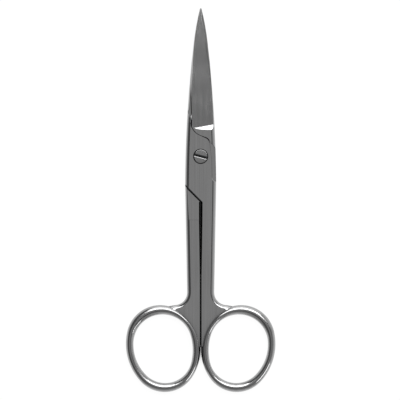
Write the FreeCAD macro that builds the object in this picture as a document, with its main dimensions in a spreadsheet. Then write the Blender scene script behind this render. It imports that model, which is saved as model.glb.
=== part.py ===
import FreeCAD, Part
import math
import os
import Sketcher

# Straight first aid scissors: two halves forged as mirror twins, and the screw that joins them.
# Millimetres. The pivot's axis is the Z axis, +Y points to the tips, +X to the right seen from above,
# and the scissors lie flat on Z = 0. Each half is drawn about its own parting plane, so that the rear
# half is the front half turned over about Y. Seen from above the front half has its ring on the right.

SIZES = {
    # Thickness
    "joint_thick": 4.2,
    "shank_end_thick": 3.2,
    "ring_thick": 4.0,
    "ride_gap": 0.04,
    "edge_round": 1.5,
    "ring_round": 1.2,
    # Blade: reach from the pivot, half widths at spine and cutting edge, the heel's inset from the flank
    "blade_reach": 55.9,
    "tip_half": 0.3,
    "belly_to_tip": 16.3,
    "belly_half": 3.03,
    "belly_edge": 2.95,
    "heel_inset": 2.01,
    "spine_radius": 500.0,
    "edge_radius": 256.0,
    "tip_thick": 0.6,
    "heel_thick": 1.92,
    "heel_y": 11.8,
    "face_tilt": 3.5,
    "heel_yaw": 10.5,
    "heel_radius": 8.0,
    "heel_sweep": 50.0,
    # Joint: the tongue's end curve, its slanted foot, and its right side's insets from the joint's flank
    "joint_half": 5.86,
    "horn_y": 13.7,
    "horn_slope": 3.0,
    "hollow_radius": 5.8,
    "crown_y": 7.9,
    "bend_x": 2.0,
    "bend_y": 7.0,
    "bend_radius": 2.6,
    "flank_inset": 2.46,
    "flank_y": 5.1,
    "waist_inset": 1.76,
    "waist_y": -1.0,
    "flare_inset": 1.56,
    "flare_y": -8.0,
    "flare_radius": 1.9,
    "neck_end_y": 2.6,
    "foot_y": -10.6,
    "neck_gap": 0.2,
    "foot_gap": 0.45,
    "tongue_break": 0.15,
    "foot_break": 0.25,
    # Shank
    "seam_gap": 0.05,
    "shank_top_y": -9.6,
    "thin_start_y": -11.0,
    "shank_low_half": 5.1,
    "shank_low_y": -50.0,
    "groove_half": 0.76,
    "groove_low_half": 0.57,
    "groove_mid_y": -24.0,
    "groove_end_y": -45.0,
    "groove_depth": 1.3,
    "web_arc": 4.8,
    "web_inset": 1.8,
    "web_end_y": -72.0,
    "edge_slope": 10.0,
    "seam_bevel": 0.2,
    "groove_slope": 26.0,
    "foot_relief": 0.2,
    # Ring: the opening and the outside are eggs of four arcs each
    "hole_top_x": 14.4,
    "hole_top_y": -70.7,
    "hole_top_radius": 11.0,
    "hole_low_x": 13.4,
    "hole_low_y": -75.5,
    "hole_low_radius": 10.1,
    "hole_far_radius": 16.5,
    "hole_near_radius": 20.0,
    "rim_top_x": 15.3,
    "rim_top_y": -68.9,
    "rim_top_radius": 12.75,
    "rim_low_x": 13.6,
    "rim_low_y": -76.7,
    "rim_low_radius": 12.3,
    "rim_far_radius": 21.0,
    "rim_near_radius": 18.0,
    # Screw
    "head_dia": 5.3,
    "head_thick": 0.9,
    "head_sink": 0.05,
    "head_clearance": 0.22,
    "journal_dia": 3.2,
    "journal_clearance": 0.03,
    "thread_dia": 2.5,
    "thread_clearance": 0.01,
    "seat_clearance": 0.02,
    "slot_width": 0.9,
    "slot_depth": 0.5,
    "slot_angle": -14.5,
    "head_bevel": 0.15,
}

# Two points nearer to each other than this are the same
SAME = 0.001
# First guess of the radius of a free arc, in lengths of its chord
FREE_ARC = 4
# How far the sketch of the blade's ground face runs on past the tip, in lengths of that face
OVERRUN = "1.3"
# Where the cuts that take the blade's outline end, well past its tip
PAST_TIP = "blade_reach + joint_half"
# Places that follow from the joint's width and the blade's reach
BELLY_Y = "(blade_reach - belly_to_tip)"
HEEL_EDGE = "(joint_half - heel_inset)"
FLANK_X = "(joint_half - flank_inset)"
WAIST_X = "(joint_half - waist_inset)"
FLARE_X = "(joint_half - flare_inset)"
# Height at which the other tongue's slanted foot meets this half's axis
OTHER_FOOT = "(foot_y - joint_half - foot_gap * sqrt(2))"
# Slope of the bevel along the seam, in degrees, and its depth measured from the joint's face
SEAM_SLOPE = "45"
SEAM_BEVEL_DEPTH = "(seam_bevel + (joint_thick - shank_end_thick) / 2)"

doc = FreeCAD.newDocument("scissors")
sheet = doc.addObject("Spreadsheet::Sheet", "sizes")
for row, (alias, size) in enumerate(SIZES.items(), start=1):
    sheet.set("A%d" % row, alias)
    sheet.set("B%d" % row, "%g" % size)
    sheet.setAlias("B%d" % row, alias)
doc.recompute()


def bound(formula):
    """The formula with every size in it written as a cell of the sheet."""
    words = "".join(letter if letter.isalnum() or letter == "_" else " " for letter in formula).split()
    for word in sorted(set(words), key=len, reverse=True):
        if word in SIZES:
            formula = replace_word(formula, word, "sizes.%s" % word)
    return formula


def replace_word(text, word, new):
    """Replace a whole word that has no letter, figure, underline or dot beside it."""
    out = ""
    place = 0
    while place < len(text):
        found = text.startswith(word, place)
        before = text[place - 1] if place else " "
        after = text[place + len(word)] if place + len(word) < len(text) else " "
        if found and not (before.isalnum() or before in "_.") and not (after.isalnum() or after in "_."):
            out += new
            place += len(word)
        else:
            out += text[place]
            place += 1
    return out


def value(formula):
    """The number that a formula of the sheet's sizes gives now."""
    result = sheet.evalExpression(bound(formula))
    return float(getattr(result, "Value", result))


def origin_plane(body, role):
    for feature in body.Origin.OriginFeatures:
        if feature.Role == role:
            return feature


def new_sketch(body, name, role, lift=None, turn=None):
    """Sketch on an origin plane, lifted off it by a formula and turned by a rotation."""
    sketch = body.newObject("Sketcher::SketchObject", name)
    sketch.AttachmentSupport = [(origin_plane(body, role), "")]
    sketch.MapMode = "FlatFace"
    if turn is not None:
        sketch.AttachmentOffset = turn
    if lift is not None:
        sketch.setExpression("AttachmentOffset.Base.z", bound(lift))
    return sketch


def bind(sketch, kind, *place_and_formula):
    """Add a constraint whose datum is a formula of the sheet's sizes."""
    *place, formula = place_and_formula
    number = sketch.addConstraint(Sketcher.Constraint(kind, *place, value(formula)))
    if any(letter.isalpha() for letter in formula):
        sketch.setExpression("Constraints[%d]" % number, bound(formula))


def draw_outline(sketch, corners):
    """Closed outline of lines and arcs.

    A corner is (x, y, leaving): x and y are formulas, or numbers where the corner is free to slide.
    leaving is None for a line to the next corner, a formula for an arc's radius with "+" in front
    where it turns left and "-" where it turns right, or the sign alone where the radius is free.
    A fourth entry, True, makes the outline smooth at that corner.
    """
    spots = []
    for corner in corners:
        x, y = [value(c) if isinstance(c, str) else c for c in corner[:2]]
        spots.append(FreeCAD.Vector(x, y, 0))
    pieces = []
    for index, corner in enumerate(corners):
        start = spots[index]
        end = spots[(index + 1) % len(spots)]
        leaving = corner[2]
        if leaving is None:
            number = sketch.addGeometry(Part.LineSegment(start, end), False)
            pieces.append((number, 1, 2))
            continue
        chord = end - start
        side = 1 if leaving[0] == "+" else -1
        radius = value(leaving[1:]) if leaving[1:] else chord.Length * FREE_ARC
        middle = (start + end) * 0.5
        normal = FreeCAD.Vector(-chord.y, chord.x, 0).normalize()
        rise = math.sqrt(max(radius ** 2 - (chord.Length / 2) ** 2, 0))
        centre = middle + normal * (side * rise)
        first = math.atan2(start.y - centre.y, start.x - centre.x)
        last = math.atan2(end.y - centre.y, end.x - centre.x)
        if side < 0:
            first, last = last, first
        circle = Part.Circle(centre, FreeCAD.Vector(0, 0, 1), radius)
        number = sketch.addGeometry(Part.ArcOfCircle(circle, first, last), False)
        pieces.append((number, 1, 2) if side > 0 else (number, 2, 1))
    for index, corner in enumerate(corners):
        number, begin, _ = pieces[index]
        before, _, finish = pieces[index - 1]
        smooth = len(corner) > 3 and corner[3]
        kind = "Tangent" if smooth else "Coincident"
        sketch.addConstraint(Sketcher.Constraint(kind, before, finish, number, begin))
        if isinstance(corner[0], str):
            bind(sketch, "DistanceX", number, begin, corner[0])
        if isinstance(corner[1], str):
            bind(sketch, "DistanceY", number, begin, corner[1])
        if corner[2] is not None and corner[2][1:]:
            bind(sketch, "Radius", number, corner[2][1:])


def draw_egg(sketch, top, low, far, near):
    """Closed egg of four tangent arcs: round top, round foot, and a flatter arc down each side.

    top and low are (x, y, radius) formulas, and far and near the side arcs' radii.
    """
    upper = FreeCAD.Vector(value(top[0]), value(top[1]), 0)
    lower = FreeCAD.Vector(value(low[0]), value(low[1]), 0)
    upper_radius = value(top[2])
    lower_radius = value(low[2])
    gap = lower - upper
    along = FreeCAD.Vector(gap).normalize()
    across = FreeCAD.Vector(-along.y, along.x, 0)
    centres = []
    for formula, side in ((far, -1), (near, 1)):
        reach = value(formula) - upper_radius
        other = value(formula) - lower_radius
        step = (reach ** 2 - other ** 2 + gap.Length ** 2) / (2 * gap.Length)
        rise = math.sqrt(reach ** 2 - step ** 2)
        centres.append(upper + along * step + across * (side * rise))
    far_centre, near_centre = centres

    def angle(centre, through):
        return math.atan2(through.y - centre.y, through.x - centre.x)

    up = FreeCAD.Vector(0, 0, 1)
    arcs = [
        (upper, upper_radius, angle(far_centre, upper), angle(near_centre, upper)),
        (near_centre, value(near), angle(near_centre, upper), angle(near_centre, lower)),
        (lower, lower_radius, angle(near_centre, lower), angle(far_centre, lower)),
        (far_centre, value(far), angle(far_centre, lower), angle(far_centre, upper)),
    ]
    numbers = []
    for centre, radius, first, last in arcs:
        circle = Part.Circle(centre, up, radius)
        numbers.append(sketch.addGeometry(Part.ArcOfCircle(circle, first, last), False))
    for index, number in enumerate(numbers):
        following = numbers[(index + 1) % 4]
        sketch.addConstraint(Sketcher.Constraint("Tangent", number, 2, following, 1))
    for number, formula in zip(numbers, (top[2], near, low[2], far)):
        bind(sketch, "Radius", number, formula)
    for number, spot in ((numbers[0], top), (numbers[2], low)):
        bind(sketch, "DistanceX", number, 3, spot[0])
        bind(sketch, "DistanceY", number, 3, spot[1])


def pad_both_ways(body, sketch, name, formula):
    pad = body.newObject("PartDesign::Pad", name)
    pad.Profile = sketch
    pad.SideType = "Symmetric"
    pad.setExpression("Length", bound(formula))
    doc.recompute()
    return pad


def cut(body, sketch, name, formula=None, reverse=False, both_ways=False, slope=None):
    """Pocket to a depth, or through everything, and check that it took something away."""
    before = body.Shape.Volume
    pocket = body.newObject("PartDesign::Pocket", name)
    pocket.Profile = sketch
    pocket.Reversed = reverse
    if both_ways:
        pocket.SideType = "Symmetric"
    if formula is None:
        pocket.Type = "ThroughAll"
    else:
        pocket.setExpression("Length", bound(formula))
    if slope is not None:
        pocket.setExpression("TaperAngle", bound(slope))
    doc.recompute()
    if body.Shape.Volume > before - SAME:
        raise RuntimeError("%s cut nothing away" % name)
    return pocket


def round_edges(body, base, name, kind, formula, wanted):
    """Fillet or chamfer of the base's edges for which wanted(edge, shape) holds."""
    shape = base.Shape
    names = ["Edge%d" % (n + 1) for n, edge in enumerate(shape.Edges) if wanted(edge, shape)]
    feature = body.newObject(kind, name)
    feature.Base = (base, names)
    size = "Radius" if kind.endswith("Fillet") else "Size"
    feature.setExpression(size, bound(formula))
    doc.recompute()
    return feature


def middle(edge):
    return edge.valueAt((edge.FirstParameter + edge.LastParameter) / 2)


def beside_wall(shape, edge):
    """Whether a face that stands straight up meets the edge."""
    for face in shape.ancestorsOfType(edge, Part.Face):
        first_u, last_u, first_v, last_v = face.ParameterRange
        if abs(face.normalAt((first_u + last_u) / 2, (first_v + last_v) / 2).z) < SAME:
            return True
    return False


def ends(edge):
    return [vertex.Point for vertex in edge.Vertexes]


def upright(edge):
    return abs(edge.tangentAt(edge.FirstParameter).z) > 1 - SAME


def lengthwise(edge):
    """Whether the edge runs along the scissors more than across them."""
    direction = edge.tangentAt(edge.FirstParameter)
    return abs(direction.y) > abs(direction.x)


def new_body(name):
    return doc.addObject("PartDesign::Body", name)


def draw_blank(body):
    """The half in plan, with spare stock to the right of the joint and the blade.

    The four places worked out by value are first guesses, and the outline's smooth corners move them.
    """
    sketch = new_sketch(body, body.Name + "_plan", "XY_Plane")
    top_right = ("shank_low_half + (joint_half - shank_low_half) * (blade_reach - shank_low_y)"
                 " / (shank_top_y - shank_low_y)")
    rim_top = "rim_top_y + rim_top_radius"
    draw_outline(sketch, [
        ("-tip_half", "blade_reach", "+"),
        ("-belly_half", BELLY_Y, "+spine_radius", True),
        (value("heel_inset / 2 - joint_half"), "horn_y", "+spine_radius", True),
        ("-joint_half", "foot_y", None, True),
        (value("-joint_half"), "foot_y - joint_half", None),
        ("seam_gap / 2", "foot_y - joint_half", None),
        ("seam_gap / 2", "web_end_y", None),
        ("hole_top_x - hole_top_radius - web_inset", "hole_top_y", "-hole_top_radius + web_inset"),
        ("hole_top_x", "hole_top_y + hole_top_radius + web_inset", None),
        ("hole_top_x", rim_top, None),
        (value("shank_low_half + web_arc"), rim_top, "-web_arc", True),
        ("shank_low_half", value(rim_top + " + web_arc"), None, True),
        (top_right, "blade_reach", None),
    ])
    return sketch


def draw_foot(body):
    """The corner of the blank that the tongue's slanted foot leaves free."""
    sketch = new_sketch(body, body.Name + "_foot_plan", "XY_Plane")
    draw_outline(sketch, [
        ("-2 * joint_half", "foot_y + joint_half", None),
        ("seam_gap / 2", "foot_y - joint_half - seam_gap / 2", None),
        ("seam_gap / 2", "foot_y - 2 * joint_half", None),
        ("-2 * joint_half", "foot_y - 2 * joint_half", None),
    ])
    return sketch


def draw_front_recess(body):
    """What the other half's blade and neck take from the upper side, down to the parting plane."""
    sketch = new_sketch(body, body.Name + "_front_recess_plan", "XY_Plane", "joint_thick / 2")
    draw_outline(sketch, [
        ("-2 * joint_half", "horn_y + horn_slope * (joint_half + heel_inset)", None),
        ("-" + HEEL_EDGE, "horn_y", "+hollow_radius"),
        ("0", "crown_y", None),
        ("bend_x", "bend_y", "-bend_radius"),
        (FLANK_X, "flank_y", None),
        (WAIST_X, "waist_y", None),
        (FLARE_X, "flare_y", "+flare_radius"),
        ("joint_half + seam_gap", "shank_top_y", None),
        ("2 * joint_half", "shank_top_y", None),
        ("2 * joint_half", PAST_TIP, None),
        ("-2 * joint_half", PAST_TIP, None),
    ])
    return sketch


def draw_rear_recess(body):
    """What the other half's tongue takes from the lower side, with the blade's cutting edge."""
    sketch = new_sketch(body, body.Name + "_rear_recess_plan", "XY_Plane", "-joint_thick / 2")
    draw_outline(sketch, [
        ("tip_half", PAST_TIP, None),
        ("tip_half", "blade_reach", "-"),
        ("belly_edge", BELLY_Y, "-edge_radius", True),
        (HEEL_EDGE + " - neck_gap", "horn_y + neck_gap", "-hollow_radius"),
        ("0", "crown_y + ride_gap", None),
        ("-bend_x - neck_gap", "bend_y + neck_gap", "+bend_radius"),
        ("-" + FLANK_X + " - neck_gap", "flank_y + neck_gap", "+sqrt(joint_half ^ 2 + neck_end_y ^ 2)"),
        ("-joint_half", "neck_end_y", None),
        ("-2 * joint_half", "neck_end_y - joint_half", None),
        ("-2 * joint_half", OTHER_FOOT + " - joint_half", None),
        ("-joint_half", OTHER_FOOT + " - joint_half", None),
        ("2 * joint_half", OTHER_FOOT + " + 2 * joint_half", None),
        ("2 * joint_half", PAST_TIP, None),
    ])
    return sketch


def draw_thinning(body):
    """Side view of what is ground off both faces of the shank, which thins evenly to the web."""
    sketch = new_sketch(body, body.Name + "_thinning_side", "YZ_Plane")
    draw_outline(sketch, [
        ("thin_start_y", "joint_thick / 2", None),
        ("shank_low_y", "shank_end_thick / 2", None),
        ("rim_low_y", "shank_end_thick / 2", None),
        ("rim_low_y", "joint_thick", None),
        ("thin_start_y", "joint_thick", None),
    ])
    return sketch


def draw_blade_face(body):
    """Side view of what is ground off the outer face of the blade, with the wheel's run-out at the heel.

    The sketch starts where the ground face meets the run-out on the blade's mid-line.
    """
    swing = FreeCAD.Rotation(FreeCAD.Vector(0, 1, 0), -value("heel_yaw"))
    tilt = FreeCAD.Rotation(FreeCAD.Vector(1, 0, 0), value("face_tilt"))
    start = FreeCAD.Vector(value("heel_y"), -value("heel_thick"), 0)
    sketch = new_sketch(body, body.Name + "_blade_face_side", "YZ_Plane",
                        turn=FreeCAD.Placement(start, swing * tilt))
    run = "(blade_reach - heel_y) * " + OVERRUN
    rise = "(heel_thick - tip_thick) * " + OVERRUN
    run_out = "-heel_radius * sin(heel_sweep)"
    far_x = run + " * cos(heel_yaw)"
    far_y = rise + " * cos(face_tilt) - " + run + " * sin(heel_yaw) * sin(face_tilt)"
    draw_outline(sketch, [
        ("0", "0", None),
        (far_x, far_y, None),
        (far_x, "-joint_thick * 2", None),
        (run_out, "-joint_thick * 2", None),
        (run_out, "-heel_radius * (1 - cos(heel_sweep))", "-heel_radius"),
    ])
    return sketch


def draw_cutting_bevel(body):
    """What is ground off along the cutting edge, seen on the blade's flat inner side."""
    sketch = new_sketch(body, body.Name + "_cutting_bevel_plan", "XY_Plane", "ride_gap / 2")
    draw_outline(sketch, [
        ("tip_half", PAST_TIP, None),
        ("tip_half", "blade_reach", "-"),
        ("belly_edge", BELLY_Y, "-edge_radius", True),
        (HEEL_EDGE + " - neck_gap", "horn_y + neck_gap", None),
        (HEEL_EDGE + " - neck_gap", "crown_y", None),
        ("2 * joint_half", "crown_y", None),
        ("2 * joint_half", PAST_TIP, None),
    ])
    return sketch


def draw_groove(body):
    """The relief along the inner edge of the shank, open to the seam."""
    sketch = new_sketch(body, body.Name + "_groove_plan", "XY_Plane", "joint_thick / 2")
    top = "foot_y - joint_half"
    draw_outline(sketch, [
        ("-2 * groove_half", top, None),
        ("0", top, None),
        ("groove_half", top + " - groove_half", None),
        ("groove_half", "groove_mid_y", None),
        ("groove_low_half", "groove_end_y", None),
        ("-2 * groove_half", "groove_end_y", None),
    ])
    return sketch


def draw_seam_bevel(body):
    """The broken edge of the seam between the groove and the ring."""
    sketch = new_sketch(body, body.Name + "_seam_bevel_plan", "XY_Plane", "joint_thick / 2")
    edge = "seam_gap / 2 + " + SEAM_BEVEL_DEPTH + " / tan(" + SEAM_SLOPE + ")"
    draw_outline(sketch, [
        ("-2 * joint_thick", "groove_end_y + groove_half", None),
        (edge, "groove_end_y + groove_half", None),
        (edge, "web_end_y", None),
        ("-2 * joint_thick", "web_end_y", None),
    ])
    return sketch


def draw_foot_relief(body):
    """The shallow step that keeps the shank's face clear of the other tongue's foot."""
    sketch = new_sketch(body, body.Name + "_foot_relief_plan", "XY_Plane", "-joint_thick / 2")
    draw_outline(sketch, [
        ("-groove_half", "groove_mid_y", None),
        ("2 * joint_half", "groove_mid_y", None),
        ("2 * joint_half", "flare_y", None),
        ("-groove_half", "flare_y", None),
    ])
    return sketch


def make_arm(name):
    """Blade, joint and shank, without the ring."""
    body = new_body(name)
    blank = pad_both_ways(body, draw_blank(body), name + "_blank", "joint_thick")
    thinning = cut(body, draw_thinning(body), name + "_thinning_front", "8 * joint_half", both_ways=True)
    mirror = body.newObject("PartDesign::Mirrored", name + "_thinning_back")
    mirror.Originals = [thinning]
    mirror.MirrorPlane = (origin_plane(body, "XY_Plane"), [""])
    body.Tip = mirror
    doc.recompute()
    half = value("joint_half / 2")
    rim_top = value("rim_top_y + rim_top_radius") - SAME

    def on_outer_edge(edge, shape):
        left = middle(edge).x < 0 and lengthwise(edge)
        right = all(point.x > half and point.y > rim_top for point in ends(edge))
        return not upright(edge) and (left or right)

    rounded = round_edges(body, mirror, name + "_edges", "PartDesign::Fillet", "edge_round", on_outer_edge)
    cut(body, draw_foot(body), name + "_foot", "2 * joint_thick", both_ways=True)
    cut(body, draw_front_recess(body), name + "_front_recess", "joint_thick / 2 + ride_gap / 2")
    cut(body, draw_rear_recess(body), name + "_rear_recess", "joint_thick / 2 + ride_gap / 2", reverse=True)
    cut(body, draw_blade_face(body), name + "_blade_face", "8 * joint_half", both_ways=True)
    cut(body, draw_cutting_bevel(body), name + "_cutting_bevel", "joint_thick", slope="edge_slope")
    relieved = cut(body, draw_foot_relief(body), name + "_foot_relief", "foot_relief", reverse=True)
    flat = value("joint_thick / 2")
    other_foot = value(OTHER_FOOT)

    def on_tongue(edge, shape):
        return all(abs(point.z - flat) < SAME for point in ends(edge)) and beside_wall(shape, edge)

    def on_other_foot(edge, shape):
        below = all(point.z < -flat / 2 for point in ends(edge))
        return below and all(abs(point.y - point.x - other_foot) < SAME for point in ends(edge))

    round_edges(body, relieved, name + "_tongue_break", "PartDesign::Chamfer", "tongue_break", on_tongue)
    round_edges(body, body.Tip, name + "_foot_break", "PartDesign::Chamfer", "foot_break", on_other_foot)
    groove = cut(body, draw_groove(body), name + "_groove", "groove_depth", slope="-groove_slope")
    seam = cut(body, draw_seam_bevel(body), name + "_seam_bevel", SEAM_BEVEL_DEPTH, slope="-" + SEAM_SLOPE)
    mirror = body.newObject("PartDesign::Mirrored", name + "_back_grooves")
    mirror.Originals = [groove, seam]
    mirror.MirrorPlane = (origin_plane(body, "XY_Plane"), [""])
    body.Tip = mirror
    doc.recompute()
    return body


def make_ring(name):
    """Finger ring: an egg shaped band with rounded edges."""
    body = new_body(name)
    sketch = new_sketch(body, name + "_plan", "XY_Plane")
    draw_egg(sketch, ("rim_top_x", "rim_top_y", "rim_top_radius"),
             ("rim_low_x", "rim_low_y", "rim_low_radius"), "rim_far_radius", "rim_near_radius")
    draw_egg(sketch, ("hole_top_x", "hole_top_y", "hole_top_radius"),
             ("hole_low_x", "hole_low_y", "hole_low_radius"), "hole_far_radius", "hole_near_radius")
    pad = pad_both_ways(body, sketch, name + "_band", "ring_thick")
    round_edges(body, pad, name + "_edges", "PartDesign::Fillet", "ring_round",
                lambda edge, shape: not upright(edge))
    return body


def cylinder(name, radius, bottom, height):
    """Cylinder on the pivot's axis, its sizes and its foot's height bound to formulas."""
    thing = doc.addObject("Part::Cylinder", name)
    thing.setExpression("Radius", bound(radius))
    thing.setExpression("Height", bound(height))
    thing.setExpression("Placement.Base.z", bound(bottom))
    return thing


def boolean(kind, name, base, others):
    """Fuse the others with the base, or cut them out of it one after the other."""
    if kind == "Part::MultiFuse":
        result = doc.addObject(kind, name)
        result.Shapes = [base] + others
        doc.recompute()
        return result
    for number, other in enumerate(others, start=1):
        result = doc.addObject(kind, name if number == len(others) else "%s_%d" % (name, number))
        result.Base = base
        result.Tool = other
        doc.recompute()
        base = result
    return result


def make_half(node, holes):
    arm = make_arm(node + "_arm")
    ring = make_ring(node + "_ring")
    whole = boolean("Part::MultiFuse", node + "_whole", arm, [ring])
    return boolean("Part::Cut", node, whole, holes)


front_half = make_half("front_half", [
    cylinder("front_journal_hole", "journal_dia / 2 + journal_clearance", "-ride_gap", "joint_thick"),
    cylinder("front_head_hole", "head_dia / 2 + head_clearance",
             "joint_thick / 2 - head_sink - head_thick - seat_clearance", "joint_thick"),
])
rear_half = make_half("rear_half", [
    cylinder("rear_thread_hole", "thread_dia / 2 + thread_clearance", "-ride_gap", "joint_thick"),
])

# Screw, drawn about the same parting plane as the front half

head = cylinder("screw_head", "head_dia / 2", "joint_thick / 2 - head_sink - head_thick",
                "head_thick - head_bevel")
bevel = doc.addObject("Part::Cone", "screw_head_bevel")
bevel.setExpression("Radius1", bound("head_dia / 2"))
bevel.setExpression("Radius2", bound("head_dia / 2 - head_bevel"))
bevel.setExpression("Height", bound("head_bevel"))
bevel.setExpression("Placement.Base.z", bound("joint_thick / 2 - head_sink - head_bevel"))
journal = cylinder("screw_journal", "journal_dia / 2", "-ride_gap / 2",
                   "joint_thick / 2 - head_sink - head_thick + ride_gap / 2")
thread = cylinder("screw_thread", "thread_dia / 2", "-joint_thick / 2", "joint_thick / 2")
slot = doc.addObject("Part::Box", "screw_slot")
slot.setExpression("Length", bound("2 * head_dia"))
slot.setExpression("Width", bound("slot_width"))
slot.setExpression("Height", bound("joint_thick"))
slot.Placement.Rotation = FreeCAD.Rotation(FreeCAD.Vector(0, 0, 1), value("slot_angle"))
corner_x = "-head_dia * cos(slot_angle) + slot_width / 2 * sin(slot_angle)"
corner_y = "-head_dia * sin(slot_angle) - slot_width / 2 * cos(slot_angle)"
slot.setExpression("Placement.Base.x", bound(corner_x))
slot.setExpression("Placement.Base.y", bound(corner_y))
slot.setExpression("Placement.Base.z", bound("joint_thick / 2 - head_sink - slot_depth"))
screw_solid = boolean("Part::MultiFuse", "screw_solid", head, [bevel, journal, thread])
pivot_screw = boolean("Part::Cut", "pivot_screw", screw_solid, [slot])

# Where the pieces stand: the frame's origin is under the middle of the whole length

MIDDLE = "-(blade_reach + rim_low_y - rim_low_radius) / 2"
for piece in (front_half, rear_half, pivot_screw):
    piece.setExpression("Placement.Base.y", bound(MIDDLE))
    piece.setExpression("Placement.Base.z", bound("joint_thick / 2"))
    piece.Label = piece.Name
rear_half.Placement.Rotation = FreeCAD.Rotation(FreeCAD.Vector(0, 1, 0), 180)
doc.recompute()

for thing in doc.Objects:
    if "Invalid" in thing.State or "Error" in thing.State:
        raise RuntimeError("%s did not recompute: %s" % (thing.Name, thing.State))
os.makedirs("parts", exist_ok=True)
for piece in (front_half, rear_half, pivot_screw):
    shape = piece.Shape
    if shape.isNull() or not shape.isValid() or len(shape.Solids) != 1:
        raise RuntimeError("%s is not one sound solid" % piece.Label)
    shape.exportStep("parts/%s.step" % piece.Label)
    print(piece.Label, round(shape.Volume, 3), shape.BoundBox)
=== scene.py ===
import math
import bmesh
import bpy
import numpy as np
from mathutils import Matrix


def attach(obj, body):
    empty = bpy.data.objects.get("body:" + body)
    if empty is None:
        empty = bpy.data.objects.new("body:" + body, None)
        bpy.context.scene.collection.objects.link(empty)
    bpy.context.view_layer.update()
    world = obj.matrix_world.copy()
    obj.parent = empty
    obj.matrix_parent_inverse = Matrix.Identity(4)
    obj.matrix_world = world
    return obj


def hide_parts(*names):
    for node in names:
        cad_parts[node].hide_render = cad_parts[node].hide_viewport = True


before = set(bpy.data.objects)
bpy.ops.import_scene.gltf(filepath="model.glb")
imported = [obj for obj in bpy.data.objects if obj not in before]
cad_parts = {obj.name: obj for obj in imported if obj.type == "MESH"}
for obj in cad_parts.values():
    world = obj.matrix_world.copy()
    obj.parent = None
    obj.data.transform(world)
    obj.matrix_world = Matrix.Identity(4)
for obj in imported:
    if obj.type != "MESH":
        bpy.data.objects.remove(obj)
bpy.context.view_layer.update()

# Millimetres to metres
MM = 0.001
# How far the pivot lies from the middle of the whole length, and the height of the halves' parting plane
PIVOT_Y = 16.55
PARTING_Z = 2.1


def family(parents, item):
    """The first vertex of the loose patch that a vertex belongs to."""
    while parents[item] != item:
        parents[item] = parents[parents[item]]
        item = parents[item]
    return item


def loose_patches(count, polygons):
    """The patch of each vertex, named by its first vertex. Patches share no vertex with each other."""
    parents = list(range(count))
    for corners in polygons:
        for corner in corners[1:]:
            parents[family(parents, corner)] = family(parents, corners[0])
    return np.array([family(parents, item) for item in range(count)])


# A patch counts as round when it is this true to a cylinder (mm, or slope), up to this radius
ROUND_TRUE = 0.004
LARGEST_RADIUS = 600.0


def round_patch(points, normals):
    """The exact normals of a patch's points where it is part of a round cylinder, and None where it isn't."""
    _, _, axes = np.linalg.svd(normals, full_matrices=False)
    axis = axes[2]
    if np.abs(normals @ axis).max() > ROUND_TRUE:
        return None
    first = axes[0] - axis * (axes[0] @ axis)
    first /= np.linalg.norm(first)
    flat = np.stack((points @ first, points @ np.cross(axis, first)), 1)
    start = flat.mean(0)
    shifted = flat - start
    table = np.column_stack((2 * shifted, np.ones(len(flat))))
    solved, *_ = np.linalg.lstsq(table, (shifted ** 2).sum(1), rcond=None)
    centre = solved[:2] + start
    away = flat - centre
    radii = np.linalg.norm(away, axis=1)
    if np.ptp(radii) > ROUND_TRUE or radii.mean() > LARGEST_RADIUS:
        return None
    away /= radii[:, None]
    return away[:, :1] * first + away[:, 1:] * np.cross(axis, first)


# Sharp edges broken by hand are worn this much flatter than they were cut, and cover at most this area (mm2)
WORN = 1.3
BROKEN_AREA = 2.6
# Radius of the joint's and the shank's rounded edges. At the joint the edge ends this far up from the pivot,
# and this far from the parting plane.
EDGE_ROUND = 1.5
ROUND_END = 14.5
ROUND_FOOT = 0.55


def round_joint_edge(spots, own, sure, side):
    """Exact normals of the rounded edge down the joint's spine side, a quarter circle of one radius."""
    plan = np.stack((spots[:, 0] * side, spots[:, 1] - PIVOT_Y), 1)
    line, inner = spine_line(np.clip(plan[:, 1], SPINE_FOOT[1], SPINE_BELLY[1]))
    depth = ((plan - line) * inner).sum(1)
    height = spots[:, 2] - PARTING_Z
    along = (plan[:, 1] > SPINE_FOOT[1]) & (plan[:, 1] < ROUND_END)
    zone = (depth < EDGE_ROUND + 0.01) & along & ~sure & (np.abs(height) > ROUND_FOOT)
    out = np.clip((EDGE_ROUND - depth[zone]) / EDGE_ROUND, 0, 1)
    own[zone, 0] = -inner[zone, 0] * side * out
    own[zone, 1] = -inner[zone, 1] * out
    own[zone, 2] = np.sign(height[zone]) * np.sqrt(1 - out ** 2)


def corner_angles(spots, corners):
    """The angle of a face at each of its corners."""
    here = spots[list(corners)]
    after = np.roll(here, -1, 0) - here
    before = np.roll(here, 1, 0) - here
    lengths = np.linalg.norm(after, axis=1) * np.linalg.norm(before, axis=1)
    cosine = (after * before).sum(1) / np.maximum(lengths, 1e-12)
    return np.arccos(np.clip(cosine, -1, 1))


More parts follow.
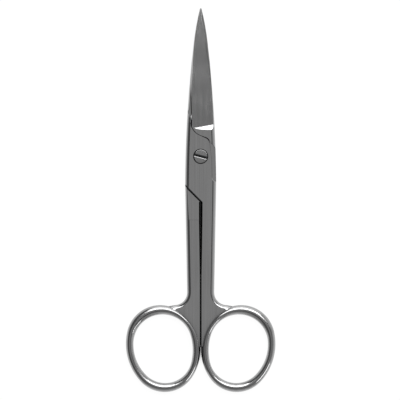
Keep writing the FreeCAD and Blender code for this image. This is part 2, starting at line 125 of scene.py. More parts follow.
def patch_normals(spots, polygons, normals, areas, side):
    """Each vertex's normal within its own patch, whether it is exact, and whether the patch is flat."""
    angles = [corner_angles(spots, corners) for corners in polygons]
    patch_of = loose_patches(len(spots), polygons)
    face_patch = np.array([patch_of[corners[0]] for corners in polygons])
    own = np.zeros_like(spots)
    sure = np.zeros(len(spots), bool)
    level = np.zeros(len(spots), bool)
    for patch in np.unique(face_patch):
        faces = np.nonzero(face_patch == patch)[0]
        mean = (normals[faces] * areas[faces, None]).sum(0)
        mean /= np.linalg.norm(mean)
        flat = (normals[faces] @ mean).min() > math.cos(math.radians(0.5))
        broken = flat and abs(mean[2] * side - math.sqrt(0.5)) < 0.01 and areas[faces].sum() < BROKEN_AREA
        if broken and abs(mean[0]) > abs(mean[1]):
            mean += (0, 0, math.copysign(WORN, mean[2]))
            mean /= np.linalg.norm(mean)
        for face in faces:
            for corner, angle in zip(polygons[face], angles[face]):
                own[corner] += mean if flat else normals[face] * angle
        members = np.nonzero(patch_of == patch)[0]
        sure[members] = flat
        level[members] = flat
        if not flat and len(faces) > 2:
            exact = round_patch(spots[members], normals[faces])
            if exact is not None:
                same_way = np.sign((exact * own[members]).sum(1))
                own[members] = exact * same_way[:, None]
                sure[members] = True
            elif np.abs(normals[faces, 2]).max() < 0.01:
                sure[members] = True
    own /= np.maximum(np.linalg.norm(own, axis=1), 1e-12)[:, None]
    return own, sure, level


# Patches run smoothly into each other where they meet at less than this many degrees: a round one into a flat
# one, a freely shaped one into an exact one, and two freely shaped ones
TANGENT_EXACT = 1.5
TANGENT_ROUGH = 9.0
TANGENT_LOOSE = 20.0


def shared_normals(groups, own, sure, level):
    """Each vertex's normal once the patches that run smoothly into each other agree on it."""
    shared = np.zeros_like(own)
    exact, rough, loose = np.cos(np.radians((TANGENT_EXACT, TANGENT_ROUGH, TANGENT_LOOSE)))
    for members in groups:
        for item in members:
            turned = {other: own[other] @ own[item] for other in members}
            if level[item]:
                like = [item]
            elif sure[item]:
                like = [other for other in members if level[other] and turned[other] > exact] or [item]
            else:
                like = [other for other in members if sure[other] and turned[other] > rough]
                like = like or [other for other in members if not sure[other] and turned[other] > loose]
            shared[item] = own[like].sum(0)
    return shared / np.maximum(np.linalg.norm(shared, axis=1), 1e-12)[:, None]


def forged_skin(node, side):
    """The node's forged shape as one skin: its vertices in mm, its faces, and each face corner's true normal.

    Every forged or ground surface is a loose patch of the node. A flat or an upright patch knows its normal
    exactly, so where another patch runs smoothly into it, that normal holds for both.
    """
    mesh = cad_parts[node].data
    spots = np.array([vertex.co[:] for vertex in mesh.vertices]) / MM
    polygons = [tuple(polygon.vertices) for polygon in mesh.polygons]
    normals = np.array([polygon.normal[:] for polygon in mesh.polygons])
    areas = np.array([polygon.area for polygon in mesh.polygons]) / MM ** 2
    own, sure, level = patch_normals(spots, polygons, normals, areas, side)
    round_joint_edge(spots, own, sure, side)
    keys = {}
    merged = np.zeros(len(spots), int)
    for item, spot in enumerate(np.round(spots, 3)):
        merged[item] = keys.setdefault(tuple(spot), len(keys))
    groups = [[] for _ in keys]
    for item, place in enumerate(merged):
        groups[place].append(item)
    shared = shared_normals(groups, own, sure, level)
    places = np.zeros((len(groups), 3))
    for place, members in enumerate(groups):
        places[place] = spots[members[0]]
    faces = []
    corner_normals = []
    for corners in polygons:
        joined = [merged[corner] for corner in corners]
        if len(set(joined)) == len(joined):
            faces.append(joined)
            corner_normals.extend(shared[corner] for corner in corners)
    return places, faces, np.array(corner_normals)


def put_in_scene(name, data):
    """A new object in the scene, at the origin and unturned."""
    item = bpy.data.objects.new(name, data)
    bpy.context.scene.collection.objects.link(item)
    return item


def skin_object(name, places, faces, corner_normals=None):
    """An object with a smooth closed skin, from places in mm. The true normals stay with its face corners."""
    mesh = bpy.data.meshes.new(name)
    whole = [[int(corner) for corner in face] for face in faces]
    mesh.from_pydata((np.asarray(places) * MM).tolist(), [], whole)
    if corner_normals is not None:
        layer = mesh.attributes.new("true_normal", "FLOAT_VECTOR", "CORNER")
        layer.data.foreach_set("vector", np.asarray(corner_normals, np.float32).ravel())
    skin = bmesh.new()
    skin.from_mesh(mesh)
    bmesh.ops.recalc_face_normals(skin, faces=skin.faces)
    skin.to_mesh(mesh)
    skin.free()
    mesh.shade_smooth()
    return put_in_scene(name, mesh)


# Centres (mm from the pivot) and radii of the round top, the round foot and the flatter far and near sides
HOLE = ((14.4, -70.7, 11.0), (13.4, -75.5, 10.1), 16.5, 20.0)
RIM = ((15.3, -68.9, 12.75), (13.6, -76.7, 12.3), 21.0, 18.0)
RING_HALF_THICK = 2.0


def egg(outline, angles):
    """Points of an egg of four arcs that touch each other, one for each direction of the outward normal."""
    (x0, y0, r0), (x1, y1, r1), far, near = outline
    top = np.array((x0, y0))
    low = np.array((x1, y1))
    span = np.linalg.norm(low - top)
    along = (low - top) / span
    across = np.array((-along[1], along[0]))
    centres = []
    for radius, side in ((far, -1), (near, 1)):
        step = ((radius - r0) ** 2 - (radius - r1) ** 2 + span ** 2) / (2 * span)
        rise = math.sqrt((radius - r0) ** 2 - step ** 2)
        centres.append(top + along * step + across * side * rise)
    far_centre, near_centre = centres
    corners = []
    for start, end in ((far_centre, top), (near_centre, top), (near_centre, low), (far_centre, low)):
        corners.append(math.atan2(*(end - start)[::-1]))
    arcs = ((top, r0, corners[0], corners[1]), (near_centre, near, corners[1], corners[2]),
            (low, r1, corners[2], corners[3]), (far_centre, far, corners[3], corners[0]))
    points = np.zeros((len(angles), 2))
    for centre, radius, first, last in arcs:
        inside = np.mod(angles - first, 2 * math.pi) <= np.mod(last - first, 2 * math.pi)
        facing = np.stack((np.cos(angles), np.sin(angles)), 1)
        points[inside] = (centre + radius * facing)[inside]
    return points


def finger_ring(name, side, power=2.25, stations=260, turns=44):
    """A forged finger ring with a well rounded section.

    x, y = hole + (rim - hole) (1 + a) / 2 and z = a half thickness times b, where hole and rim are eggs of
    four arcs drawn by the direction of their normal, and (a, b) goes once round |a|^p + |b|^p = 1.
    """
    angles = np.arange(stations) * 2 * math.pi / stations
    hole = egg(HOLE, angles)
    rim = egg(RIM, angles)
    turn = np.arange(turns) * 2 * math.pi / turns
    a = np.sign(np.cos(turn)) * np.abs(np.cos(turn)) ** (2 / power)
    b = np.sign(np.sin(turn)) * np.abs(np.sin(turn)) ** (2 / power)
    flat = hole[:, None] + (rim - hole)[:, None] * ((1 + a) / 2)[None, :, None]
    high = np.broadcast_to(PARTING_Z + RING_HALF_THICK * b, (stations, turns))
    grid = np.dstack((flat[..., 0] * side, flat[..., 1] + PIVOT_Y, high))
    across = np.roll(grid, -1, 0) - np.roll(grid, 1, 0)
    around = np.roll(grid, -1, 1) - np.roll(grid, 1, 1)
    normals = np.cross(across, around) * -side
    normals /= np.linalg.norm(normals, axis=2)[..., None]
    faces = []
    corner_normals = []
    for i in range(stations):
        for j in range(turns):
            k = (i + 1) % stations
            m = (j + 1) % turns
            square = [(i, j), (k, j), (k, m), (i, m)]
            if side > 0:
                square.reverse()
            faces.append([row * turns + column for row, column in square])
            corner_normals.extend(normals[row, column] for row, column in square)
    return skin_object(name, grid.reshape(-1, 3), faces, corner_normals)


def band_place(points):
    """How far across the ring's band each point lies (-1 opening, 1 outside), with the band's ends there."""
    angles = np.radians(np.arange(1440) / 4)
    hole = egg(HOLE, angles)
    rim = egg(RIM, angles)
    across = np.zeros(len(points))
    best = np.zeros(len(points), int)
    for index, point in enumerate(points):
        chord = rim - hole
        length = (chord ** 2).sum(1)
        share = ((point - hole) * chord).sum(1) / length
        miss = np.linalg.norm(hole + chord * share[:, None] - point, axis=1)
        best[index] = np.argmin(miss + 100 * (np.abs(share - 0.5) > 1.5))
        across[index] = share[best[index]] * 2 - 1
    return across, hole[best], rim[best]


# The forged ring is drawn in to this part of the band (-1 opening, 1 outside) and this far from the parting
# plane. Nothing above this height from the pivot is part of it.
TUCKED = (-0.4, 0.544)
TUCKED_HALF = 1.6
RING_REACH = -55


def tuck_ring(places, side):
    """Draw the plainly rounded ring of the forged shape inside the finger ring that takes its place."""
    plan = np.stack((places[:, 0] * side, places[:, 1] - PIVOT_Y), 1)
    near = np.nonzero(plan[:, 1] < RING_REACH)[0]
    across, hole, rim = band_place(plan[near])
    band = np.abs(across) < 1.02
    tucked = near[band]
    first, last = TUCKED
    share = (first + (across[band] + 1) / 2 * (last - first) + 1) / 2
    inside = hole[band] + (rim[band] - hole[band]) * share[:, None]
    places[tucked, 0] = inside[:, 0] * side
    places[tucked, 1] = inside[:, 1] + PIVOT_Y
    places[tucked, 2] = PARTING_Z + np.clip(places[tucked, 2] - PARTING_Z, -TUCKED_HALF, TUCKED_HALF)


def join(piece, other, how="UNION"):
    """Weld another closed skin to the piece, or take it away from the piece."""
    weld = piece.modifiers.new("weld", "BOOLEAN")
    weld.operation = how
    weld.solver = "EXACT"
    weld.object = other
    bpy.context.view_layer.update()
    finished = piece.evaluated_get(bpy.context.evaluated_depsgraph_get())
    done = bpy.data.meshes.new_from_object(finished)
    piece.modifiers.clear()
    old = piece.data
    piece.data = done
    done.name = old.name
    bpy.data.meshes.remove(old)
    bpy.data.objects.remove(other)


# A true normal that leaves its face by more than this many degrees was lost in the weld
ASTRAY = 40.0


def shade_true(piece):
    """Shade the piece by its true normals, which the polishing wheel follows."""
    mesh = piece.data
    layer = mesh.attributes["true_normal"]
    normals = np.zeros(len(mesh.loops) * 3, np.float32)
    layer.data.foreach_get("vector", normals)
    normals = normals.reshape(-1, 3)
    flat = np.zeros((len(mesh.loops), 3))
    for polygon in mesh.polygons:
        flat[list(polygon.loop_indices)] = polygon.normal[:]
    length = np.linalg.norm(normals, axis=1)
    astray = (length < 0.5) | ((normals * flat).sum(1) < math.cos(math.radians(ASTRAY)) * length)
    normals[astray] = flat[astray]
    normals /= np.linalg.norm(normals, axis=1)[:, None]
    mesh.attributes.remove(layer)
    for polygon in mesh.polygons:
        polygon.use_smooth = True
    mesh.normals_split_custom_set(normals.tolist())


# The spine of the blade that lies behind, from the pivot (mm): tip, belly and foot of the joint, and the radius
# of the arc from belly to foot
SPINE_TIP = (-0.3, 55.9)
SPINE_BELLY = (-3.03, 39.6)
SPINE_FOOT = (-5.86, -10.6)
SPINE_RADIUS = 500.0
# The dressed edge of the inner face, then of the outer face: the heights from the pivot between which it is
# full, those where it has faded, its width, and its slope at the spine
INNER_DRESSING = ((17.9, 38.0), (16.9, 55.2), 0.8, 53.0)
OUTER_DRESSING = ((42.0, 52.0), (20.0, 55.2), 1.1, 19.0)


def spine_line(heights):
    """Points of the spine and their inward directions, on two arcs that touch each other at the belly."""
    tip, belly, foot = (np.array(spot) for spot in (SPINE_TIP, SPINE_BELLY, SPINE_FOOT))
    chord = foot - belly
    half = np.linalg.norm(chord) / 2
    inward = np.array((-chord[1], chord[0])) / (2 * half)
    low_centre = (belly + foot) / 2 + inward * math.sqrt(SPINE_RADIUS ** 2 - half ** 2)
    down = (low_centre - belly) / SPINE_RADIUS
    radius = ((tip - belly) ** 2).sum() / (2 * (tip - belly) @ down)
    high_centre = belly + down * radius
    spots = np.zeros((len(heights), 2))
    inner = np.zeros((len(heights), 2))
    for index, height in enumerate(heights):
        centre, reach = (high_centre, radius) if height > belly[1] else (low_centre, SPINE_RADIUS)
        spots[index] = (centre[0] - math.sqrt(reach ** 2 - (height - centre[1]) ** 2), height)
        inner[index] = (centre - spots[index]) / reach
    return spots, inner


def swept_skin(name, grid, normals):
    """The closed skin over a grid whose rows are closed sections, with a face over each end."""
    stations, rows = grid.shape[:2]
    squares = []
    for k in range(stations - 1):
        for m in range(rows):
            n = (m + 1) % rows
            squares.append([(k, m), (k + 1, m), (k + 1, n), (k, n)])
    squares.append([(0, m) for m in range(rows)])
    squares.append([(stations - 1, m) for m in range(rows - 1, -1, -1)])
    faces = [[k * rows + m for k, m in square] for square in squares]
    corner_normals = [normals[k, m] for square in squares for k, m in square]
    return skin_object(name, grid.reshape(-1, 3), faces, corner_normals)


# The part of the dressing's width over which its slope grows from nothing, and how far the wheel stands past
# the blade's spine and off its face
EASING = 0.42
WHEEL_PAST = 0.6
WHEEL_OFF = 0.9


def dressing_wheel(name, side, dressing, face_height, inward):
    """What is dressed off an edge of the blade's spine, from face_height(x, y) inward (1 down, -1 up).

    At the distance d in from the spine the edge is ground to the depth of an integral of tan(slope). The
    slope is steady near the spine and eases to nothing at the width. The sweep runs along the spine and fades
    at its ends.
    """
    (full_low, full_high), (low, high), width, steepest = dressing
    heights = np.concatenate((np.linspace(low, full_low, 12)[:-1], np.linspace(full_low, full_high, 30)[:-1],
                              np.linspace(full_high, high, 10)))
    spots, inner = spine_line(heights)
    fade = np.interp(heights, (low, full_low, full_high, high), (0.04, 1, 1, 0.2))
    inset = np.linspace(1.0, 0.0, 13)
    slopes = np.radians(steepest) * np.clip((1 - inset) / EASING, 0, 1)
    steps = np.tan((slopes[1:] + slopes[:-1]) / 2) * -np.diff(inset)
    depth = np.concatenate(([0.0], np.cumsum(steps)))
    rows = len(inset) + 3
    grid = np.zeros((len(heights), rows, 3))
    normals = np.zeros((len(heights), rows, 3))
    for k in range(len(heights)):
        wide = width * fade[k]
        for m, (d, drop) in enumerate(zip(inset, depth)):
            x, y = spots[k] + inner[k] * d * wide
            grid[k, m] = (x, y, face_height(x, y) - inward * drop * wide)
            normals[k, m] = (*(-inner[k] * math.sin(slopes[m])), inward * math.cos(slopes[m]))
        edge = grid[k, len(inset) - 1]
        x, y = spots[k] - inner[k] * WHEEL_PAST
        grid[k, -3] = (x, y, edge[2] - inward * WHEEL_PAST * math.tan(slopes[-1]))
        grid[k, -2] = (x, y, face_height(x, y) + inward * WHEEL_OFF)
        x, y = spots[k] + inner[k] * wide
        grid[k, -1] = (x, y, face_height(x, y) + inward * WHEEL_OFF)
        normals[k, -3:] = normals[k, len(inset) - 1]
    grid[..., 0] *= side
    grid[..., 1] += PIVOT_Y
    grid[..., 2] = PARTING_Z + grid[..., 2] * side
    normals *= (side, 1, side)
    return swept_skin(name, grid, normals)


def ground_face(places, faces, side):
    """The blade's ground outer face as a height over the half's own plan, found from its largest flat."""
    best = None
    largest = 0
    for face in faces:
        spots = places[face] * (side, 1, side) - (0, PIVOT_Y, PARTING_Z * side)
        tilt = np.cross(spots[1] - spots[0], spots[2] - spots[0])
        area = np.linalg.norm(tilt)
        on_blade = spots[:, 1].min() > 10 and spots[:, 2].max() < -0.3
        if on_blade and abs(tilt[2]) > 0.99 * area and area > largest:
            largest = area
            best = (spots[0], tilt / tilt[2])
    spot, tilt = best
    return lambda x, y: spot[2] - tilt[0] * (x - spot[0]) - tilt[1] * (y - spot[1])


# The joint's rounded edge runs between these heights from the pivot, and stands this proud of the forging
JOINT_EDGE = (-10.45, 12.3)
PROUD = 0.004


def joint_edge(name, side):
    """The rounded edge down the joint's spine side.

    Over the spine the section is a quarter circle: at the angle t it lies r (1 - cos t) in from the spine and
    r (1 - sin t) under the joint's face. Its back lies inside the forging.
    """
    heights = np.linspace(*JOINT_EDGE, 40)
    spots, inner = spine_line(heights)
    angles = np.linspace(0, math.pi / 2, 17)
    face = PARTING_Z - 0.001
    section = []
    for t in angles:
        out = math.cos(t)
        up = math.sin(t)
        depth = EDGE_ROUND * (1 - out) - PROUD * out
        section.append((depth, face + PROUD * up - EDGE_ROUND * (1 - up), out, up))
    section += [(EDGE_ROUND + 0.3, face - 0.3, 0, 1), (EDGE_ROUND + 0.3, 0.4, 0, 1), (0.3, 0.4, 1, 0)]
    rows = len(section)
    grid = np.zeros((len(heights), rows, 3))
    normals = np.zeros((len(heights), rows, 3))
    for m, (depth, height, out, up) in enumerate(section):
        away = spots + inner * depth
        grid[:, m] = np.column_stack((away[:, 0] * side, away[:, 1] + PIVOT_Y,
                                      np.full(len(heights), PARTING_Z + height * side)))
        normals[:, m] = np.column_stack((-inner[:, 0] * out * side, -inner[:, 1] * out,
                                         np.full(len(heights), up * side)))
    return swept_skin(name, grid, normals)


# The blade's inner face lies this far off the parting plane
INNER_FACE = -0.02


def scissor_half(node, side):
    """One half: the forging's skin with its ring and joint edge welded on, and its blade's spine dressed."""
    places, faces, corner_normals = forged_skin(node, side)
    outer_face = ground_face(places, faces, side)
    tuck_ring(places, side)
    piece = skin_object(node + "_polished", places, faces, corner_normals)
    join(piece, finger_ring(node + "_ring", side))
    join(piece, joint_edge(node + "_joint_edge", side))
    inner = dressing_wheel(node + "_inner_dressing", side, INNER_DRESSING, lambda x, y: INNER_FACE, 1)
    outer = dressing_wheel(node + "_outer_dressing", side, OUTER_DRESSING, outer_face, -1)
    join(piece, inner, "DIFFERENCE")
    join(piece, outer, "DIFFERENCE")
    shade_true(piece)
    return piece


# The screw's sizes: head, slot, and the radius and foot of journal and thread
HEAD_RADIUS = 2.65
HEAD_ROUND = 0.2
HEAD_TOP = 4.15
HEAD_FOOT = 3.25
HEAD_DOME = 0.05
SLOT_DEG = -14.5
SLOT_HALF = 0.4
SLOT_LIP = 0.21
SLOT_FLOOR = 3.45
SLOT_WEAR = 0.07
JOURNAL = (1.6, 2.08)
THREAD = (1.25, 0.12)


def slot_level(across, level):
    """Height of the head at a distance from the slot's middle: floor, upright wall, worn lip, then dome."""
    distance = np.abs(across)
    lip = np.clip((distance - SLOT_HALF) / SLOT_LIP, 0, 1)
    worn = level - SLOT_WEAR * (1 - lip) ** 1.6
    return np.where(distance < SLOT_HALF - 0.02, SLOT_FLOOR, worn)


def slotted_screw(name):
    """The pivot screw, drawn along and across its slot.

    On a disc of radius r a point lies at across = r sin(i) and along = r cos(i) j. The head's height over it
    is the dome less the slot. The outline then goes down the head's side, the journal and the thread to the
    underside.
    """
    turn = math.radians(SLOT_DEG)
    wall = math.asin((SLOT_HALF - 0.02) / HEAD_RADIUS)
    lips = [math.asin((SLOT_HALF + SLOT_LIP * step) / HEAD_RADIUS) for step in np.linspace(0, 1, 7)]
    outer = list(np.linspace(lips[-1], math.radians(88), 26)[1:])
    half = [wall * 0.5, wall * 0.999] + lips + outer
    i = np.array([-place for place in reversed(half)] + [0.0] + half)
    j = np.linspace(-1, 1, 41)
    across = np.sin(i)[:, None] * np.ones(len(j))
    along = np.cos(i)[:, None] * j[None, :]
    rim_cells = ([(row, 0) for row in range(len(i))] + [(len(i) - 1, column) for column in range(1, len(j))]
                 + [(row, len(j) - 1) for row in range(len(i) - 2, -1, -1)]
                 + [(0, column) for column in range(len(j) - 2, 0, -1)])
    points = []
    faces = []

    def add_disc(radius, height, upward):
        start = len(points)
        for row in range(len(i)):
            for column in range(len(j)):
                place = (across[row, column] * radius, along[row, column] * radius)
                points.append((*place, height(*place)))
        for row in range(len(i) - 1):
            for column in range(len(j) - 1):
                cell = [start + (row + m) * len(j) + column + n for m, n in ((0, 0), (1, 0), (1, 1), (0, 1))]
                faces.append(cell if upward else cell[::-1])
        return [start + row * len(j) + column for row, column in rim_cells]

    def dome(x, y):
        return HEAD_TOP - HEAD_DOME * (x * x + y * y) / HEAD_RADIUS ** 2

    before = add_disc(HEAD_RADIUS - HEAD_ROUND, lambda x, y: float(slot_level(x, dome(x, y))), True)
    profile = []
    for bend in np.radians((20, 40, 60, 75, 90)):
        profile.append((HEAD_RADIUS - HEAD_ROUND * (1 - math.sin(bend)),
                        HEAD_TOP - HEAD_DOME * 0.85 - HEAD_ROUND * (1 - math.cos(bend))))
    profile += [(HEAD_RADIUS, HEAD_FOOT), (JOURNAL[0], HEAD_FOOT), JOURNAL, (THREAD[0], JOURNAL[1]), THREAD]
    for radius, height in profile:
        ring = []
        for row, column in rim_cells:
            x = across[row, column] * radius
            y = along[row, column] * radius
            sunk = float(slot_level(x, height)) if height > SLOT_FLOOR else height
            ring.append(len(points))
            points.append((x, y, sunk))
        for place in range(len(ring)):
            after = (place + 1) % len(ring)
            faces.append([before[place], ring[place], ring[after], before[after]])
        before = ring
    foot = add_disc(THREAD[0] - 0.12, lambda x, y: 0.0, False)
    for place in range(len(foot)):
        after = (place + 1) % len(foot)
        faces.append([before[place], foot[place], foot[after], before[after]])
    x, y, z = np.array(points).T
    right = y * math.cos(turn) + x * math.sin(turn)
    up = y * math.sin(turn) - x * math.cos(turn) + PIVOT_Y
    turned = np.stack((right, up, z), 1)
    return skin_object(name, turned, faces)


def feed(tree, value, socket):
    """Give a socket a value, or a link where the value is a socket itself."""
    if isinstance(value, bpy.types.NodeSocket):
        tree.links.new(value, socket)
    else:
        socket.default_value = value


def calculate(tree, operation, *terms):
    """The result of a Math node."""
    step = tree.nodes.new("ShaderNodeMath")
    step.operation = operation
    for term, socket in zip(terms, step.inputs):
        feed(tree, term, socket)
    return step.outputs[0]


def map_range(tree, source, before, after=(0.0, 1.0), smooth=False):
    """The source mapped from one range to another, and held at its ends."""
    step = tree.nodes.new("ShaderNodeMapRange")
    if smooth:
        step.interpolation_type = "SMOOTHSTEP"
    tree.links.new(source, step.inputs["Value"])
    for name, value in zip(("From Min", "From Max", "To Min", "To Max"), (*before, *after)):
        feed(tree, value, step.inputs[name])
    return step.outputs["Result"]


def mix_colours(tree, share, first, second):
    """The first colour where the share is 0, the second where it is 1."""
    mixed = tree.nodes.new("ShaderNodeMix")
    mixed.data_type = "RGBA"
    tree.links.new(share, mixed.inputs["Factor"])
    feed(tree, first, mixed.inputs["A"])
    feed(tree, second, mixed.inputs["B"])
    return mixed.outputs["Result"]


def noise_along(tree, place, spots, detail):
    """Noise with this many spots in a metre along X, Y and Z."""
    stretch = tree.nodes.new("ShaderNodeMapping")
    stretch.inputs["Scale"].default_value = spots
    noise = tree.nodes.new("ShaderNodeTexNoise")
    noise.inputs["Scale"].default_value = 1.0
    noise.inputs["Detail"].default_value = detail
    tree.links.new(place, stretch.inputs["Vector"])
    tree.links.new(stretch.outputs["Vector"], noise.inputs["Vector"])
    return noise.outputs["Fac"]


def new_group(name, inputs, outputs):
    """A node group with these number sockets, and its entry and exit."""
    tree = bpy.data.node_groups.new(name, "ShaderNodeTree")
    for socket, default in inputs:
        made = tree.interface.new_socket(name=socket, in_out="INPUT", socket_type="NodeSocketFloat")
        made.default_value = default
    for socket in outputs:
        tree.interface.new_socket(name=socket, in_out="OUTPUT", socket_type="NodeSocketFloat")
    return tree, tree.nodes.new("NodeGroupInput"), tree.nodes.new("NodeGroupOutput")


# How many there are in a metre along X, Y and Z
BELT_LINES = (5200, 90, 2600)
STREAKS = (1700, 22, 900)
HAND_MARKS = (130, 130, 130)


def polish_group():
    """Fine lines left by the polishing belt along the scissors, with faint hand marks over them."""
    inputs = (("Smooth", 0.1), ("Dull", 0.2))
    tree, entry, leave = new_group("belt_polish", inputs, ("Roughness", "Height", "Tone"))
    place = tree.nodes.new("ShaderNodeTexCoord").outputs["Object"]
    lines = noise_along(tree, place, BELT_LINES, 3.0)
    marks = noise_along(tree, place, HAND_MARKS, 4.0)
    worked = calculate(tree, "MULTIPLY", lines, marks)
    roughness = map_range(tree, worked, (0.1, 0.45), (entry.outputs["Smooth"], entry.outputs["Dull"]))
    streaks = noise_along(tree, place, STREAKS, 2.0)
    tree.links.new(roughness, leave.inputs["Roughness"])
    tree.links.new(lines, leave.inputs["Height"])
    tree.links.new(map_range(tree, streaks, (0.3, 0.7), (0.92, 1.05)), leave.inputs["Tone"])
    return tree


BELT = polish_group()

# How far the painted shade and grease reach out of a corner (mm), as the AO node's distance: at the shanks, at
# the joint, and up the blades
SHANK_REACH = 1.2
JOINT_REACH = 1.1
BLADE_REACH = 0.08
# The share of it that is left along the joint's right-hand flank, where the painted shade is kept faint
FLANK_SHADE_SHARE = 0.1


def shade_and_grease_group():
    """Where the dark painted shade and grease go: how far out of a corner they reach, and what lies off the
    painted shade along the seam.
    """
    tree, _, leave = new_group("seam_shade_and_grease", (), ("Reach", "SeamUnshaded"))
    axes = tree.nodes.new("ShaderNodeSeparateXYZ")
    tree.links.new(tree.nodes.new("ShaderNodeTexCoord").outputs["Object"], axes.inputs[0])
    across = axes.outputs["X"]
    along = axes.outputs["Y"]

    def over(source, low, high, first=0.0, last=1.0):
        return map_range(tree, source, (low * MM, high * MM), (first, last), smooth=True)

    shank = over(along, 2, 7, SHANK_REACH * MM, 0.0)
    blade = over(along, 27, 32, JOINT_REACH * MM, BLADE_REACH * MM)
    joint = calculate(tree, "MULTIPLY", blade, over(across, 2.2, 3.4, 1.0, FLANK_SHADE_SHARE))
    tree.links.new(calculate(tree, "ADD", shank, joint), leave.inputs["Reach"])
    # Painted shade: a dark strip down the seam between the halves' shanks, towards the rings
    off_seam = over(calculate(tree, "ABSOLUTE", across), 0.28, 0.42)
    above_seam = over(along, -29.5, -27.5)
    tree.links.new(calculate(tree, "MAXIMUM", off_seam, above_seam), leave.inputs["SeamUnshaded"])
    return tree


SHADE_AND_GREASE_GROUP = shade_and_grease_group()


def new_material(name):
    """A material, its node tree and its shader."""
    material = bpy.data.materials.new(name)
    material.use_nodes = True
    return material, material.node_tree, material.node_tree.nodes["Principled BSDF"]


STEEL = (0.47, 0.47, 0.472, 1)
SCREW_STEEL = (0.43, 0.43, 0.432, 1)
SHADE_AND_GREASE = (0.04, 0.04, 0.042, 1)
# A spot this closed in, as the AO node finds it, is all painted shade and grease, and one this open is all
# steel
CLOSED_IN = 0.74
OPEN = 0.99


def polished_steel(name, colour, smooth, dull, crevice=None):
    """Steel off the polishing belt. The corners and gaps that the AO node finds closed in get dark painted
    shade and grease.
    """
    material, tree, shader = new_material(name)
    shader.inputs["Metallic"].default_value = 1.0
    belt = tree.nodes.new("ShaderNodeGroup")
    belt.node_tree = BELT
    belt.inputs["Smooth"].default_value = smooth
    belt.inputs["Dull"].default_value = dull
    bump = tree.nodes.new("ShaderNodeBump")
    bump.inputs["Strength"].default_value = 0.1
    bump.inputs["Distance"].default_value = 0.02 * MM
    tree.links.new(belt.outputs["Height"], bump.inputs["Height"])
    tree.links.new(bump.outputs["Normal"], shader.inputs["Normal"])
    tree.links.new(belt.outputs["Roughness"], shader.inputs["Roughness"])
    seam = tree.nodes.new("ShaderNodeGroup")
    seam.node_tree = SHADE_AND_GREASE_GROUP
    # Painted shade: the AO node darkens the steel's colour in corners and gaps, where shade falls
    corner = tree.nodes.new("ShaderNodeAmbientOcclusion")
    corner.samples = 12
    feed(tree, seam.outputs["Reach"] if crevice is None else crevice * MM, corner.inputs["Distance"])
    unshaded = map_range(tree, corner.outputs["AO"], (CLOSED_IN, OPEN))
    unshaded = calculate(tree, "MULTIPLY", unshaded, seam.outputs["SeamUnshaded"])
    toned = tree.nodes.new("ShaderNodeVectorMath")
    toned.operation = "SCALE"
    tree.links.new(mix_colours(tree, unshaded, SHADE_AND_GREASE, colour), toned.inputs[0])
    tree.links.new(belt.outputs["Tone"], toned.inputs["Scale"])
    tree.links.new(toned.outputs["Vector"], shader.inputs["Base Color"])
    return material


for node, steel_slot, side in (("rear_half", "rear_steel", -1), ("front_half", "front_steel", 1)):
    piece = scissor_half(node, side)
    piece.data.materials.clear()
    piece.data.materials.append(polished_steel(node + "_steel", STEEL, 0.08, 0.16))
    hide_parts(node)
    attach(piece, node)

screw = slotted_screw("pivot_screw_turned")
# The screw gets painted shade from the AO node over 1.2 mm, in its slot and round its head
screw.data.materials.append(polished_steel("pivot_screw_steel", SCREW_STEEL, 0.14, 0.24, crevice=1.2))
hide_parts("pivot_screw")
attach(screw, "rear_half")

# Floor

FLOOR_HALF = 3.0
# How brightly the paper glows: as the steel reflects it, and as the camera sees it
GLOW = (0.75, 0.95)

floor_mesh = bpy.data.meshes.new("floor")
corners = [(x * FLOOR_HALF, y * FLOOR_HALF, 0) for x, y in ((-1, -1), (1, -1), (1, 1), (-1, 1))]
floor_mesh.from_pydata(corners, [], [(0, 1, 2, 3)])
floor = put_in_scene("floor", floor_mesh)
paper, tree, shader = new_material("white_paper")
shader.inputs["Base Color"].default_value = (0.12, 0.12, 0.12, 1)
shader.inputs["Roughness"].default_value = 0.9
shader.inputs["Specular IOR Level"].default_value = 0.0
shader.inputs["Emission Color"].default_value = (1, 1, 1, 1)
glow = map_range(tree, tree.nodes.new("ShaderNodeLightPath").outputs["Is Camera Ray"], (0.0, 1.0), GLOW)
# Painted shadow: the AO node dims the paper's glow under the scissors, so that no light comes up through their
# gaps
paper_shade = tree.nodes.new("ShaderNodeAmbientOcclusion")
paper_shade.inputs["Distance"].default_value = 6 * MM
unshaded_paper = map_range(tree, paper_shade.outputs["AO"], (0.03, 0.25))
tree.links.new(calculate(tree, "MULTIPLY", glow, unshaded_paper), shader.inputs["Emission Strength"])
floor_mesh.materials.append(paper)

# Light

world = bpy.data.worlds.new("studio")
bpy.context.scene.world = world
world.use_nodes = True
studio = world.node_tree
parts = studio.nodes.new("ShaderNodeSeparateXYZ")
studio.links.new(studio.nodes.new("ShaderNodeTexCoord").outputs["Generated"], parts.inputs[0])


def sky_ramp(source, steps):
    """The studio's brightness through these places of the source and greys."""
    ramp = studio.nodes.new("ShaderNodeValToRGB")
    elements = ramp.color_ramp.elements
    while len(elements) < len(steps):
        elements.new(0.5)
    for element, (place, grey) in zip(elements, steps):
        element.position = place
        element.color = (grey, grey, grey, 1)
    studio.links.new(source, ramp.inputs["Fac"])
    return ramp.outputs["Color"]


def add_wall(below, heading, start, steps, left_end=None):
    """Lay a wall towards the tips (heading 1) or the rings (-1) over what the studio shows so far.

    It fades in between the two places of start. With a left end it also fades out between those two places
    across the studio, so that what faces left stays dark.
    """
    towards = calculate(studio, "MULTIPLY", parts.outputs["Y"], heading)
    share = map_range(studio, towards, start, smooth=True)
    if left_end:
        share = calculate(studio, "MULTIPLY", share, map_range(studio, parts.outputs["X"], left_end))
    return mix_colours(studio, share, below, sky_ramp(towards, steps))


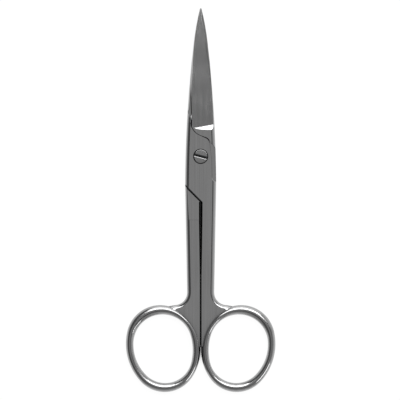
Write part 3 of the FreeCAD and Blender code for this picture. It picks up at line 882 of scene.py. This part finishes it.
# Greys from the table's level (0) to straight above (1)
OVERHEAD = ((0.968, 0.05), (0.983, 0.27), (0.992, 0.29), (1.0, 0.405))
LEFT_WALL = ((0.0, 0.55), (0.2, 0.3), (0.5, 0.12), (0.9, 0.09), *OVERHEAD)
RIGHT_WALL = ((0.0, 0.7), (0.5, 0.5), (0.86, 0.3), (0.9, 0.05), *OVERHEAD)
# Greys from straight above (0) to the table's level (1)
RINGS_WALL = ((0.3, 0.2), (0.6, 0.3), (0.87, 0.42), (1.0, 0.6))
TIPS_WALL = ((0.17, 0.3), (0.28, 0.6), (0.5, 0.6), (0.7, 0.4), (0.82, 1.2), (1.0, 1.6))

left_wall = sky_ramp(parts.outputs["Z"], LEFT_WALL)
right_wall = sky_ramp(parts.outputs["Z"], RIGHT_WALL)
rightward = map_range(studio, parts.outputs["X"], (-0.12, 0.12), smooth=True)
walls = mix_colours(studio, rightward, left_wall, right_wall)
walls = add_wall(walls, -1, (0.3, 0.7), RINGS_WALL)
walls = add_wall(walls, 1, (0.16, 0.27), TIPS_WALL, left_end=(-0.38, -0.14))
studio.links.new(walls, studio.nodes["Background"].inputs["Color"])


def softbox(name, away, azimuth, width, height, radiance):
    """Light 1 m off, away degrees from straight up towards an azimuth from +Y to +X, facing the scissors."""
    light = bpy.data.lights.new(name, "AREA")
    light.shape = "RECTANGLE"
    light.size = width
    light.size_y = height
    light.energy = radiance * math.pi * width * height
    lamp = put_in_scene(name, light)
    a = math.radians(away)
    b = math.radians(azimuth)
    lamp.location = (math.sin(a) * math.sin(b), math.sin(a) * math.cos(b), math.cos(a))
    lamp.rotation_euler = (-lamp.location).to_track_quat("-Z", "Y").to_euler()


softbox("tips_softbox", 27.5, 9, 0.76, 0.48, 3.0)
softbox("side_softbox", 52, 130, 0.35, 0.3, 2.5)

# Camera

# It looks straight down from this height (m), and at this level over the floor it sees this width (mm)
CAMERA_HEIGHT = 1.2
SEEN_LEVEL = 4
SEEN_WIDTH = 150.9

camera_data = bpy.data.cameras.new("camera")
camera = put_in_scene("camera", camera_data)
bpy.context.scene.camera = camera
camera.location = (-0.26 * MM, 0.10 * MM, CAMERA_HEIGHT)
camera_data.sensor_width = 36.0
camera_data.lens = 36.0 * (CAMERA_HEIGHT - SEEN_LEVEL * MM) / (SEEN_WIDTH * MM)
camera_data.clip_start = 0.01
camera_data.clip_end = 100
bpy.context.scene.view_settings.view_transform = "Standard"
bpy.context.scene.view_settings.look = "None"
